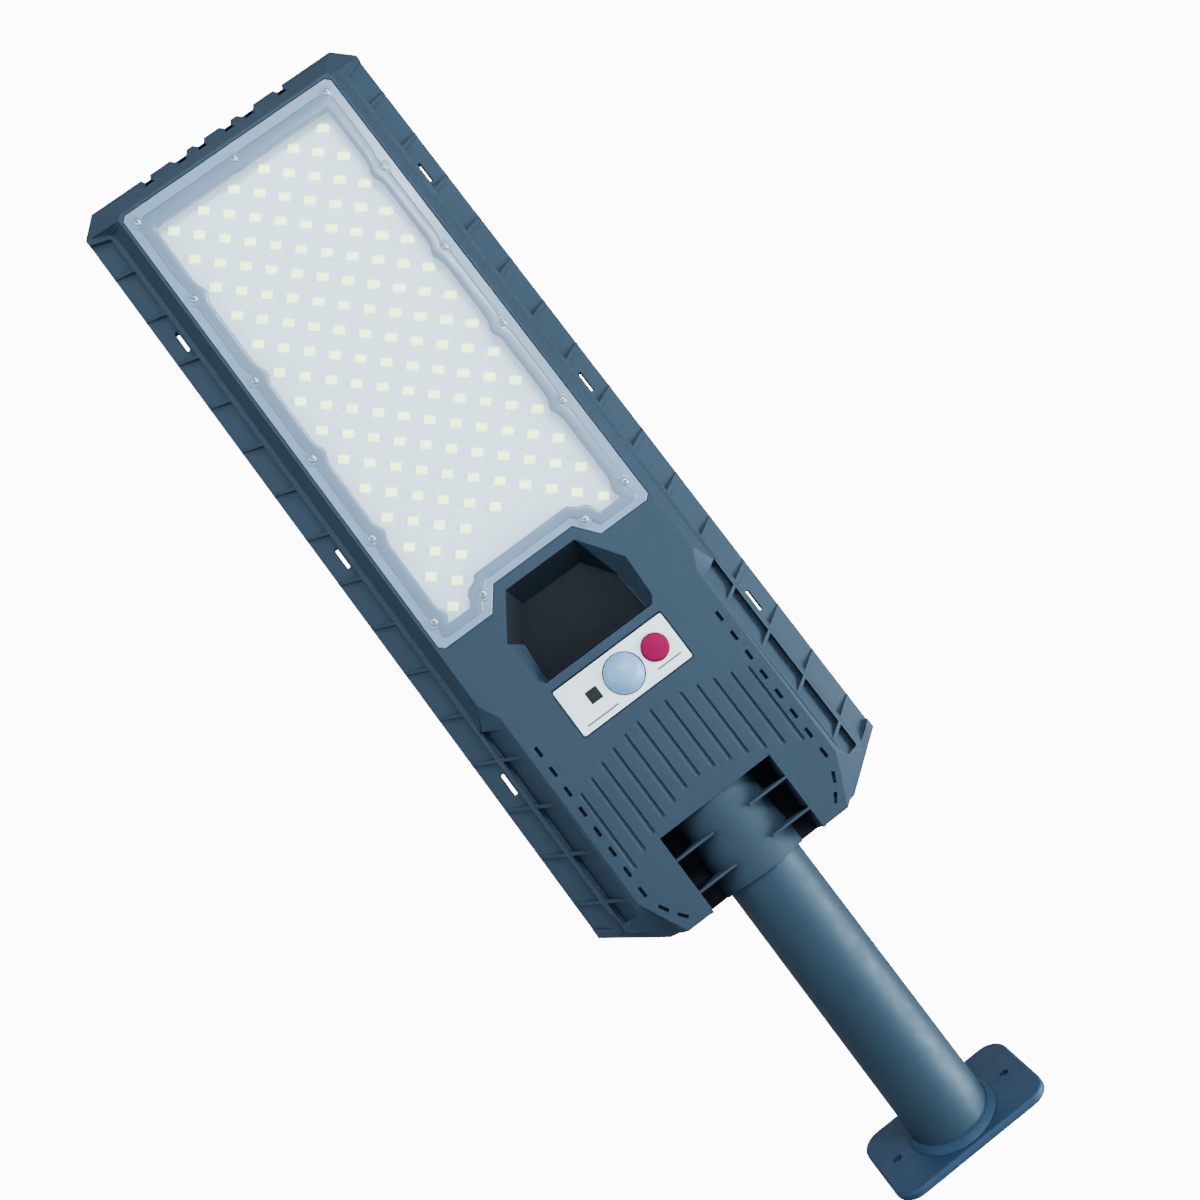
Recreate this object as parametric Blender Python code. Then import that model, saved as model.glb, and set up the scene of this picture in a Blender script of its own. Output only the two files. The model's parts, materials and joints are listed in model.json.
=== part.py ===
"""Solar street lamp: a flat lamp head that slides onto a tube arm welded to a wall plate.

The head is drawn in its own frame, in millimetres: +x across, +y from the tail (where the arm
enters) to the far end, and +z out of the LED face, with the arm's axis as the y axis. An empty
tilts that frame onto the wall. The row's origin is the centre of the wall plate's back face.
"""
import bpy
import bmesh
from math import cos, pi, radians, sin, tan
from mathutils import Matrix, Vector

MM = 0.001
GAP = 0.3                                  # clearance left between pieces that touch

# ---- driving dimensions, millimetres ----
ARM_TILT = radians(17.0)                   # rise of the arm above the horizontal
ARM_REACH = 176.0                          # from the wall plate's front face to the head's tail
TUBE_R, TUBE_WALL = 25.0, 2.0
TUBE_INSERT = 80.0                         # length of tube inside the head
PLATE_W, PLATE_H, PLATE_T, PLATE_CORNER = 105.0, 65.0, 5.0, 13.0
PLATE_HOLE_X, PLATE_HOLE_R = 39.5, 2.6

HEAD_HALF, HEAD_LEN = 102.0, 563.0
TAIL_HALF, TAIL_CHAMFER = 68.0, 27.5
BODY_HALF, BODY_TOP = 85.0, 78.0           # raised body's half width at its foot and at its face
NECK_FOOT, NECK_TOP = 87.0, 71.5           # the same at the tail, where its sides slope more
SHOULDER_LOW, SHOULDER_HIGH = 161.0, 174.0
END_FOOT, END_TOP = 562.5, 541.5           # the far end's slope, at the rim and at the face
Z_PART, Z_RIM, Z_LEDGE, Z_FACE = 0.0, 8.0, 16.0, 29.0
Z_BACK = -30.0
WALL = 2.5
RIB_PITCH, RIB_FIRST, RIB_T = 33.65, 51.0, 2.4
RIB_SLANT = 8.0 / 15.0                     # the ribs run towards the far end as they go outwards
LEDGE_IN, BAY_IN, BAY_DEPTH = 87.5, 88.5, 3.8
SLOT_X, SLOT_W, SLOT_L = 90.8, 2.0, 14.0
SLOT_Y = (129.6, 296.8, 462.6)
DASH_X, DASH_FIRST, DASH_PITCH, DASH_DEPTH = 65.5, 35.2, 14.1, 4.0
# each notch in the far end's rim: x, half width at its root, half width at its mouth
SCALLOPS = ((49.5, 1.6, 3.6), (25.0, 3.8, 6.6), (10.0, 2.0, 4.4))
SCALLOP_DEPTH = 4.8

COVER_HALF, COVER_LOW, COVER_HIGH = 76.0, 214.0, 539.0
COVER_Z, COVER_T, COVER_STEP = 27.3, 2.0, 1.2   # underside of the cover, its rim, the window's rise
WINDOW_HALF, WINDOW_LOW, WINDOW_HIGH = 63.0, 224.5, 523.7
TRAY_FLOOR, TRAY_T = 20.5, 2.5
WELL_FLOOR = 14.0
LENS_SCREWS = [(69.3, y) for y in (230.3, 291.5, 350.7, 409.5, 471.6, 530.8)]
LENS_SCREWS += [(-x, y) for x, y in LENS_SCREWS] + [(0.0, 529.5), (37.0, 226.5), (-37.0, 226.5)]
LED_PITCH_X, LED_PITCH_Y, LED_TOP_Y = 22.0, 21.9, 516.7
LED_L, LED_W, LED_T = 6.2, 5.0, 0.9        # one chip with its lens

LABEL_HALF, LABEL_LOW, LABEL_HIGH = 39.0, 124.8, 156.3
DOME_X, DOME_Y, DOME_R = 1.0, 140.6, 12.5
IR_X, IR_Y, IR_HALF = -20.5, 141.0, 3.6
BUTTON_X, BUTTON_Y, BUTTON_R, BUTTON_TRAVEL = 24.5, 142.0, 8.2, 2.5

SOCKET_HALF, SOCKET_END = 39.5, 53.0       # the open pocket round the arm socket
SLEEVE_R, BORE_R, BORE_END = 28.0, 25.4, 82.0
PANEL_HALF, PANEL_LOW, PANEL_HIGH = 75.5, 96.5, 539.5
PANEL_FLOOR = -24.5
SHELL_SCREWS = [(s * x, y) for s in (1, -1) for x, y in ((58.0, 24.0), (81.0, 215.0), (81.0, 430.0))]
CELL_R, CELL_L, CELL_COUNT, CELL_Y = 16.2, 70.0, 4, 330.0
CELL_Z = -3.2
CLAMP_Y = (24.0, 58.0)
# plug sockets on the control board
SOCKETS = ((-2.0, 133.0), (24.0, 136.0), (-33.0, 134.0), (33.0, 148.0))

for old in list(bpy.data.objects):
    bpy.data.objects.remove(old, do_unlink=True)

wall_frame = bpy.data.objects.new("wall_frame", None)
bpy.context.scene.collection.objects.link(wall_frame)
head_frame = bpy.data.objects.new("head_frame", None)
bpy.context.scene.collection.objects.link(head_frame)
arm_direction = Vector((0.0, -cos(ARM_TILT), sin(ARM_TILT)))
head_frame.location = Vector((0.0, -PLATE_T * MM, 0.0)) + arm_direction * ARM_REACH * MM
head_frame.rotation_euler = (pi - ARM_TILT, 0.0, 0.0)


# ---- solids as lists of (vertices, faces) ----
def loft(rings):
    """Closed solid through rings of equal length, each anticlockwise seen from the last ring."""
    n = len(rings[0])
    verts = [p for ring in rings for p in ring]
    faces = [tuple(reversed(range(n)))]
    for k in range(len(rings) - 1):
        a, b = k * n, (k + 1) * n
        faces += [(a + i, a + (i + 1) % n, b + (i + 1) % n, b + i) for i in range(n)]
    faces.append(tuple(range((len(rings) - 1) * n, len(rings) * n)))
    return verts, faces


def slab(outline, *levels):
    """Stack an outline at (z, inset) levels, from low z to high z."""
    return loft([[(x, y, z) for x, y in inset(outline, d)] for z, d in levels])


def inset(outline, d):
    """Move every edge of an anticlockwise outline inwards by d, with mitred corners."""
    if not d:
        return outline
    n, out = len(outline), []
    for i in range(n):
        p0, p1, p2 = (Vector(outline[(i + k) % n]) for k in (-1, 0, 1))
        e0, e1 = (p1 - p0).normalized(), (p2 - p1).normalized()
        n0, n1 = Vector((-e0.y, e0.x)), Vector((-e1.y, e1.x))
        m = (n0 + n1) / (1.0 + n0.dot(n1))
        out.append((p1.x + m.x * d, p1.y + m.y * d))
    return out


def box(x0, x1, y0, y1, z0, z1):
    return slab([(x0, y0), (x1, y0), (x1, y1), (x0, y1)], (z0, 0), (z1, 0))


def turned(profile, x, y, sides):
    """Solid of revolution about a line along z. The profile's (radius, z) points run upwards."""
    ring = [(cos(2 * pi * k / sides), sin(2 * pi * k / sides)) for k in range(sides)]
    return loft([[(x + r * c, y + r * s, z) for c, s in ring] for r, z in profile])


def disc(x, y, r, z0, z1, sides=24):
    return turned([(r, z0), (r, z1)], x, y, sides)


def bar(x, z, r, y0, y1, sides=48):
    """Cylinder along y, with a flat rather than a corner on each side."""
    ring = [(cos(2 * pi * (k + 0.5) / sides), sin(2 * pi * (k + 0.5) / sides)) for k in range(sides)]
    return loft([[(x + r * c, y, z + r * s) for c, s in ring] for y in (y1, y0)])


def rounded(half_x, y0, y1, r, steps=3):
    """Anticlockwise rectangle centred on x = 0 with round corners."""
    out = []
    for cx, cy, start in ((half_x - r, y1 - r, 0), (r - half_x, y1 - r, 90),
                          (r - half_x, y0 + r, 180), (half_x - r, y0 + r, 270)):
        angles = [radians(start + 90 * k / steps) for k in range(steps + 1)]
        out += [(cx + r * cos(a), cy + r * sin(a)) for a in angles]
    return out


def mirrored(half):
    """Close a half outline, drawn from the tail to the far end at +x, by its mirror image."""
    return list(half) + [(-x, y) for x, y in reversed(half)]


def ring_solid(outer, inner, z0, z1):
    """Flat ring between two outlines of equal length."""
    n = len(outer)
    verts = [(x, y, z) for outline in (outer, inner) for z in (z0, z1) for x, y in outline]
    faces = []
    for i in range(n):
        j = (i + 1) % n
        o0, o1, i0, i1 = i, n + i, 2 * n + i, 3 * n + i
        p0, p1, q0, q1 = j, n + j, 2 * n + j, 3 * n + j
        faces += [(o0, p0, p1, o1), (i0, i1, q1, q0), (o1, p1, q1, i1), (o0, i0, q0, p0)]
    return verts, faces


# ---- objects ----
def mesh_from(name, shells, unit=MM):
    mesh = bpy.data.meshes.new(name)
    bm = bmesh.new()
    for verts, faces in shells:
        made = [bm.verts.new(Vector(v) * unit) for v in verts]
        for face in faces:
            bm.faces.new([made[i] for i in face])
    bm.to_mesh(mesh)
    bm.free()
    return mesh


def material(name, colour, roughness, metallic=0.0, alpha=1.0):
    mat = bpy.data.materials.new(name)
    mat.use_nodes = True
    shader = mat.node_tree.nodes["Principled BSDF"]
    shader.inputs["Base Color"].default_value = (*colour, 1.0)
    shader.inputs["Roughness"].default_value = roughness
    shader.inputs["Metallic"].default_value = metallic
    shader.inputs["Alpha"].default_value = alpha
    return mat


def part(name, shells, finish, parent=None, smooth=False):
    mesh = mesh_from(name, shells)
    mesh.materials.append(material(name, *finish))
    if smooth:
        mesh.shade_smooth()
        mesh.set_sharp_from_angle(angle=radians(35))
    obj = bpy.data.objects.new(name, mesh)
    bpy.context.scene.collection.objects.link(obj)
    obj.parent = parent or head_frame
    return obj


def combine(obj, shells, operation, overlapping=False):
    tool = bpy.data.objects.new(obj.name + "_tool", mesh_from(obj.name + "_tool", shells))
    bpy.context.scene.collection.objects.link(tool)
    tool.parent = obj.parent
    tool.hide_render = True
    tool.display_type = 'WIRE'
    mod = obj.modifiers.new(operation.lower(), 'BOOLEAN')
    mod.operation = operation
    mod.solver = 'EXACT'
    mod.use_self = overlapping
    mod.object = tool


def wire(name, route, radius, finish):
    """Insulated lead: a curve with filled caps along a smooth route of hand-picked points."""
    points = smooth_route([Vector(p) for p in route])
    curve = bpy.data.curves.new(name, 'CURVE')
    curve.dimensions = '3D'
    curve.bevel_depth = radius * MM
    curve.bevel_resolution = 1
    curve.use_fill_caps = True
    spline = curve.splines.new('POLY')
    spline.points.add(len(points) - 1)
    for point, p in zip(spline.points, points):
        point.co = (*(p * MM), 1.0)
    curve.materials.append(material(name, *finish))
    obj = bpy.data.objects.new(name, curve)
    bpy.context.scene.collection.objects.link(obj)
    obj.parent = head_frame
    return obj


def smooth_route(ctrl, steps=3):
    """Catmull-Rom curve through the control points."""
    out = []
    for i in range(len(ctrl) - 1):
        p0, p1, p2, p3 = (ctrl[min(max(k, 0), len(ctrl) - 1)] for k in range(i - 1, i + 3))
        for k in range(steps):
            t = k / steps
            out.append(0.5 * ((2 * p1) + (p2 - p0) * t + (2 * p0 - 5 * p1 + 4 * p2 - p3) * t * t
                              + (3 * p1 - p0 - 3 * p2 + p3) * t ** 3))
    return out + [ctrl[-1]]


SLATE = ((0.075, 0.115, 0.155), 0.5)
SLATE_DARK = ((0.05, 0.08, 0.11), 0.55)
STEEL_PAINT = ((0.14, 0.23, 0.31), 0.42, 0.2)
STEEL = ((0.55, 0.56, 0.58), 0.35, 1.0)
RUBBER = ((0.03, 0.03, 0.035), 0.8)
CLEAR = ((0.72, 0.82, 0.9), 0.12, 0.0, 0.35)
WHITE = ((0.78, 0.84, 0.88), 0.45)
COPPER = ((0.75, 0.42, 0.2), 0.4, 1.0)


# ---- wall bracket ----
def build_bracket():
    corners = rounded(PLATE_W / 2, -PLATE_H / 2, PLATE_H / 2, PLATE_CORNER, steps=6)
    # drawn in x, z and stood up: a plan point (x, y) at height z lands at (x, -z, y)
    plate = slab(corners, (0, 0), (PLATE_T - 1.2, 0), (PLATE_T, 1.2))
    holes = [disc(s * PLATE_HOLE_X, 0, PLATE_HOLE_R, -1, PLATE_T + 1) for s in (1, -1)]
    upright = Matrix.Rotation(pi / 2, 4, 'X')
    wall_plate = part("wall_plate", [turn(plate, upright)], STEEL_PAINT, wall_frame)
    combine(wall_plate, [turn(h, upright) for h in holes], 'DIFFERENCE')

    # the tube's wall end is cut on the slant so that it meets the plate all round
    sides = 40
    angles = [2 * pi * k / sides for k in range(sides)]

    def mitre(r, angle):
        """y where the tube's surface reaches the plate's front face, plus the gap."""
        return -ARM_REACH + GAP / cos(ARM_TILT) - r * sin(angle) * tan(ARM_TILT)

    rings = []
    bore = TUBE_R - TUBE_WALL
    for r, far in ((TUBE_R, False), (TUBE_R, True), (bore, True), (bore, False)):
        rings.append([(r * cos(a), TUBE_INSERT if far else mitre(r, a), r * sin(a)) for a in angles])
    part("arm_tube", [tube_of(rings)], STEEL_PAINT, smooth=True)

    # fillet weld: (out along the plate, up along the tube) round the slanted joint
    rings = []
    for out, up in ((0.4, 0.4), (3.8, 0.4), (3.0, 1.7), (1.7, 3.0), (0.4, 3.9)):
        r = TUBE_R + out
        rings.append([(r * cos(a), mitre(r, a) + up, r * sin(a)) for a in angles])
    part("weld_bead", [tube_of(rings)], STEEL_PAINT, smooth=True)


def turn(shell, matrix):
    return [tuple(matrix @ Vector(v)) for v in shell[0]], shell[1]


def tube_of(rings):
    """Closed ring-shaped solid whose section's corners are the rings, in order."""
    n, m = len(rings[0]), len(rings)
    verts = [p for ring in rings for p in ring]
    faces = []
    for k in range(m):
        a, b = k * n, (k + 1) % m * n
        faces += [(a + i, b + i, b + (i + 1) % n, a + (i + 1) % n) for i in range(n)]
    return verts, faces


# ---- outlines of the head ----
def head_outline():
    """Chamfered tail and straight sides. The far end's scallops are cut later."""
    tail = [(54, 0), (TAIL_HALF, 2.6), (HEAD_HALF, TAIL_CHAMFER)]
    return mirrored(tail + [(HEAD_HALF, HEAD_LEN - 12), (89.5, HEAD_LEN)])


def body_outline(foot):
    """Raised body at its foot, or at its face: slim at the tail, full width from the shoulders on."""
    if foot:
        half = [(61, 1.5), (NECK_FOOT, 21), (NECK_FOOT, SHOULDER_LOW), (BODY_HALF, SHOULDER_HIGH),
                (BODY_HALF, END_TOP - 2)]
    else:
        half = [(57.5, 2), (NECK_TOP, 31), (NECK_TOP, SHOULDER_LOW + 2), (BODY_TOP, SHOULDER_HIGH + 2),
                (BODY_TOP, END_TOP - 4)]
    return mirrored(half)


def end_slope():
    """Wedge from the face down to the rim at the far end, mitred to the ledge at its corners."""
    start = END_TOP - 4.5
    rim = mirrored([(BODY_HALF, start), (HEAD_HALF - 0.8, HEAD_LEN - 12), (89.3, END_FOOT)])
    face = mirrored([(BODY_TOP, start), (BODY_TOP, END_TOP - 3), (BODY_TOP - 2.5, END_TOP)])
    return loft([[(x, y, Z_RIM - 0.5) for x, y in rim], [(x, y, Z_FACE) for x, y in face]])


def scallops():
    """Notches in the far end's rim, each with a small dent just inside it."""
    out = []
    root, mouth = HEAD_LEN - SCALLOP_DEPTH, HEAD_LEN + 1.0
    for place, narrow, wide in SCALLOPS:
        for x in (place, -place):
            out.append(slab([(x - narrow, root), (x + narrow, root), (x + wide, mouth), (x - wide, mouth)],
                            (Z_PART - 1, 0), (Z_LEDGE, 0)))
            back, front = root - 5.0, root - 1.6
            dent = [(x - 3.6, back), (x + 3.6, back), (x + 2.4, front), (x - 2.4, front)]
            out.append(slab(dent, (Z_RIM - 3, 0), (Z_LEDGE + 2, 0)))
    return out


def octagon(spread):
    """Rim of the dark well between the LED window and the label, grown by spread."""
    return inset(mirrored([(38.6, 163.0), (41.8, 168.0), (43.0, 194.5), (25.0, 220.6)]), -spread)


def well():
    """The well's hollow: steep at the label, and sloping at its sides and its far end."""
    floor = mirrored([(36.0, 164.5), (36.4, 169.0), (34.6, 190.0), (21.0, 209.5)])
    return loft([[(x, y, WELL_FLOOR) for x, y in floor], [(x, y, Z_FACE) for x, y in octagon(0.0)],
                 [(x, y, Z_FACE + 1) for x, y in octagon(0.0)]])


def cover_outline(corner=3.0):
    tail = [(28.6, 227.8), (39.6, COVER_LOW), (COVER_HALF - corner, COVER_LOW), (COVER_HALF, COVER_LOW + corner)]
    return mirrored(tail + [(COVER_HALF, COVER_HIGH - corner), (COVER_HALF - corner, COVER_HIGH)])


def window_outline(half_width=WINDOW_HALF, low=WINDOW_LOW, high=WINDOW_HIGH):
    """LED window and board: a rectangle whose tail corners are cut round the well."""
    step = half_width - WINDOW_HALF
    half = [(33 + step / 2, low + 14.5), (47 + step / 2, low), (half_width, low), (half_width, high)]
    return mirrored(half)


def between_ribs(k, x_in, x_out):
    """Plan of the gap between ribs k and k + 1, on the +x side."""
    near, far = (RIB_SLANT * (HEAD_HALF - x) for x in (x_in, x_out))
    low = RIB_FIRST + RIB_PITCH * k + RIB_T / 2
    high = low + RIB_PITCH - RIB_T
    return [(x_in, low - near), (x_out, low - far), (x_out, high - far), (x_in, high - near)]


def both_sides(lower, upper):
    """A solid between two plans (x, y, z) on the +x side, and its mirror image."""
    flip = [[(-x, y, z) for x, y, z in reversed(ring)] for ring in (lower, upper)]
    return [loft([lower, upper]), loft(flip)]


def ledge_bays():
    """Shallow bays along the sloping ledge, open at its outer edge."""
    drop = (Z_LEDGE - Z_RIM) / (HEAD_HALF - LEDGE_IN)
    out = []
    for k in range(-1, 15):
        plan = between_ribs(k, BAY_IN, HEAD_HALF + 1)
        if k < 0:
            plan = [(BAY_IN, 24.0), (HEAD_HALF + 1, 34.5), *plan[2:]]
        if k > 13:
            plan = [*plan[:2], (HEAD_HALF + 1, HEAD_LEN - 15), (BAY_IN, HEAD_LEN - 24)]
        floor = [(x, y, Z_LEDGE - BAY_DEPTH - drop * (x - LEDGE_IN)) for x, y in plan]
        out += both_sides(floor, [(x, y, Z_LEDGE + 1) for x, y in plan])
    return out


def neck_bays():
    """Shallow bays in the neck's sloping sides, sunk a little below the ledge they meet."""
    foot, lip = NECK_FOOT - 3.5, NECK_FOOT - 1.5
    out = []
    for k in range(-1, 4):
        lower, upper = (between_ribs(k, x, lip) for x in (foot, NECK_TOP + 0.8))
        if k < 0:
            lower = [(foot, 25.4), (lip, 26.6), *lower[2:]]
            upper = [(NECK_TOP + 0.8, 25.4), (lip, 26.6), *upper[2:]]
        if k > 2:
            lower = [*lower[:2], (lip, 163.3), (foot, 162.1)]
            upper = [*upper[:2], (lip, 163.3), (NECK_TOP + 0.8, 156.1)]
        out += both_sides([(x, y, Z_LEDGE - 3.4) for x, y in lower], [(x, y, Z_FACE + 1) for x, y in upper])
    return out


def side_slots():
    """Slots right through each wing of the ledge."""
    half_w, half_l = SLOT_W / 2, SLOT_L / 2
    return [box(x - half_w, x + half_w, y - half_l, y + half_l, Z_PART - 5, Z_LEDGE + 4)
            for x in (SLOT_X, -SLOT_X) for y in SLOT_Y]


def grooves():
    """Fan of fine grooves between the label and the arm socket, each steep on its +x side."""
    out = []
    for k in range(-6, 7):
        x = 10.1 * k
        fall = 14.3 * abs(k / 6.0) ** 1.6
        low, high = 67.5 - 1.4 * fall, 115.0 - fall
        root = [(x + 0.5, low + 1.5), (x + 0.9, low + 1.5), (x + 0.9, high - 1.5), (x + 0.5, high - 1.5)]
        mouth = [(x - 1.7, low), (x + 1.3, low), (x + 1.1, high), (x - 1.1, high)]
        levels = ((root, Z_FACE - 1.6), (mouth, Z_FACE + 0.05))
        out.append(loft([[(px, py, z) for px, py in plan] for plan, z in levels]))
    return out


def vent_dashes():
    """Row of short deep slits along each side of the tail, carried on round its corners."""
    side = box(-1.0, 1.0, -3.2, 3.2, Z_FACE - DASH_DEPTH, Z_FACE + 1)
    places = [(DASH_X, DASH_FIRST + DASH_PITCH * k, 0.0) for k in range(8)]
    places += [(61.4, 20.7, radians(-28)), (54.9, 10.9, radians(-38))]
    out = []
    for x, y, angle in places:
        for sign in (1, -1):
            place = Matrix.Translation((sign * x, y, 0))
            out.append(turn(side, place @ Matrix.Rotation(sign * angle, 4, 'Z')))
    return out


def build_front_frame():
    ledge_rise = ((Z_PART, 1.0), (Z_PART + 1, 0), (Z_RIM, 0), (Z_LEDGE, HEAD_HALF - LEDGE_IN))
    frame = part("front_frame", [slab(head_outline(), *ledge_rise)], SLATE)
    body_rise = ((Z_RIM - 1, True), (Z_LEDGE, True), (Z_FACE, False))
    combine(frame, [loft([[(x, y, z) for x, y in body_outline(foot)] for z, foot in body_rise])], 'UNION')
    combine(frame, [end_slope()], 'UNION')
    # inside: one deep cavity under the neck, a lower one under the LED tray
    roof = TRAY_FLOOR - TRAY_T
    neck = mirrored([(50, 5), (60, 32), (60, 158)])
    under_tray = mirrored([(54, 5), (70, 32), (70, 160), (81, 176), (81, 546)])
    well_side = mirrored([(58, 155), (62, 170), (62, 211)])
    wing_pockets = [box(*sorted((s * 88, s * 94)), 36, 534, Z_PART - 1, Z_RIM - 4) for s in (1, -1)]
    hollows = [slab(under_tray, (Z_PART - 1, 0), (roof, 0))]
    hollows += [slab(plan, (roof - 2, 0), (Z_FACE - WALL, 1.0)) for plan in (neck, well_side)]
    combine(frame, hollows + wing_pockets, 'DIFFERENCE', overlapping=True)
    # fused inside it: the well's wall, the socket block and the screw bosses
    bosses = [disc(x, y, 4.2, Z_PART, TRAY_FLOOR - 1, 16) for x, y in SHELL_SCREWS if abs(x) < 80]
    posts = [disc(s * 33, y, 3.0, 14.0 + GAP, Z_FACE - 1, 12) for s in (1, -1) for y in (120.0, 156.0)]
    well_wall = slab(octagon(2.0), (WELL_FLOOR - WALL, 0), (Z_FACE - 1, 0))
    socket = box(-42, 42, 1.5, BORE_END + 3, Z_PART, Z_FACE - 1)
    combine(frame, [well_wall, socket] + bosses + posts, 'UNION', overlapping=True)
    # pockets in the outer faces
    label_plan = rounded(LABEL_HALF + 1, LABEL_LOW - 1, LABEL_HIGH + 1, 1.5, 2)
    label = slab(label_plan, (Z_FACE - 1.2, 0), (Z_FACE + 1, 0))
    tray = slab(window_outline(66.5, 223.5, 526.5), (TRAY_FLOOR, 0), (Z_FACE + 1, 0))
    combine(frame, ledge_bays() + scallops(), 'DIFFERENCE')
    combine(frame, [well(), label, tray] + grooves() + vent_dashes(), 'DIFFERENCE')
    combine(frame, socket_pockets(), 'DIFFERENCE', overlapping=True)
    # openings right through, and the seats of screws
    rebate = slab(inset(cover_outline(), -0.4), (26.2, 0), (Z_FACE + 2, 0))
    bore = bar(0, 0, BORE_R, -2, BORE_END)
    sensor = [disc(DOME_X, DOME_Y, DOME_R + GAP, 20, Z_FACE + 1, 32),
              disc(BUTTON_X, BUTTON_Y, BUTTON_R + 0.4, 20, Z_FACE + 1, 28),
              box(IR_X - 4, IR_X + 4, IR_Y - 4, IR_Y + 4, 20, Z_FACE + 1)]
    lens_holes = [disc(x, y, 1.5, 19.5, Z_FACE, 8) for x, y in LENS_SCREWS]
    shell_holes = [disc(x, y, 1.5, -1, 11.5, 10) for x, y in SHELL_SCREWS]
    openings = [rebate, bore] + sensor + lens_holes + shell_holes + side_slots()
    combine(frame, openings, 'DIFFERENCE', overlapping=True)
    combine(frame, neck_bays(), 'DIFFERENCE')
    return frame


def socket_pockets():
    """Open cells over the half sleeve, split on each side by two ribs that fade out at its crest."""
    angles = [radians(7 + 83.0 * k / 9) for k in range(19)]
    arc = [(SLEEVE_R * cos(a), SLEEVE_R * sin(a)) for a in angles]
    foot, top = arc[0][1] - 0.01, Z_FACE + 1
    cell = [(arc[0][0] + 0.01, foot), (SOCKET_HALF, foot), (SOCKET_HALF, top), (-SOCKET_HALF, top),
            (-SOCKET_HALF, foot), (-arc[0][0] - 0.01, foot)] + arc[:0:-1]
    crest = arc[6:13]
    crest = [(crest[0][0], top), (crest[-1][0], top)] + crest[::-1]
    spans = [(cell, -1.0, 14.6), (crest, 14.6, 16.2), (cell, 16.2, 36.5), (crest, 36.5, 38.1),
             (cell, 38.1, SOCKET_END)]
    return [loft([[(x, y, z) for x, z in section] for y in (y1, y0)]) for section, y0, y1 in spans]


def build_back_shell():
    half = [(58, 1.8), (BODY_HALF + 1, 46), (BODY_HALF + 1, HEAD_LEN - 10), (BODY_HALF - 8, HEAD_LEN - 5)]
    outline = mirrored(half)
    shell = part("back_shell", [slab(outline, (Z_BACK, 2.0), (Z_BACK + 2, 0.4), (Z_PART - GAP, 0))], SLATE)
    pad = rounded(10, 12, 71, 4, 3)
    combine(shell, [slab(pad, (Z_BACK - 6, 0), (Z_BACK + 2, 0))], 'UNION')
    neck = mirrored([(55, 5), (80, 45), (80, 91)])
    main = mirrored([(82, 90.0), (82, HEAD_LEN - 12)])
    combine(shell, [slab(neck, (Z_BACK + WALL, 0), (1, 0)), slab(main, (PANEL_FLOOR + WALL, 0), (1, 0))],
            'DIFFERENCE', overlapping=True)
    bosses = [disc(x, y, 4.6, Z_BACK + 1, Z_PART - GAP, 16) for x, y in SHELL_SCREWS]
    socket = box(-42, 42, 2.5, BORE_END + 3, Z_BACK + 1, Z_PART - GAP)
    combine(shell, [socket] + bosses, 'UNION', overlapping=True)
    panel_plan = rounded(PANEL_HALF + 0.5, PANEL_LOW - 0.5, PANEL_HIGH + 0.5, 3, 2)
    panel = slab(panel_plan, (Z_BACK - 1, 0), (PANEL_FLOOR, 0))
    bore = bar(0, 0, BORE_R, -2, BORE_END)
    heads = [disc(x, y, 3.4, Z_BACK - 1, -9.0, 12) for x, y in SHELL_SCREWS]
    clamp_holes = [disc(0, y, 3.1, Z_BACK - 7, -20, 16) for y in CLAMP_Y]
    combine(shell, [panel, bore] + heads + clamp_holes, 'DIFFERENCE', overlapping=True)
    shanks = [disc(x, y, 1.7, -10, 1, 10) for x, y in SHELL_SCREWS]
    nut_seats = [turned([(6.1, -32.0), (6.1, -20)], 0, y, 6) for y in CLAMP_Y]
    terminal = box(-17.5, 17.5, 120, 146, PANEL_FLOOR - 1, PANEL_FLOOR + WALL + 1)
    combine(shell, shanks + nut_seats + [terminal], 'DIFFERENCE')


# ---- LED compartment ----
def led_places():
    """Staggered rows of six and five chips, with the tail's middle ones left out."""
    out = []
    for row in range(27):
        y = LED_TOP_Y - row * LED_PITCH_Y / 2
        count = 6 if row % 2 == 0 else 5
        xs = [LED_PITCH_X * (k - (count - 1) / 2) for k in range(count)]
        clear = {24: 12, 25: 23, 26: 34}.get(row, 0)
        out += [(x, y) for x in xs if abs(x) >= clear]
    return out


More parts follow.
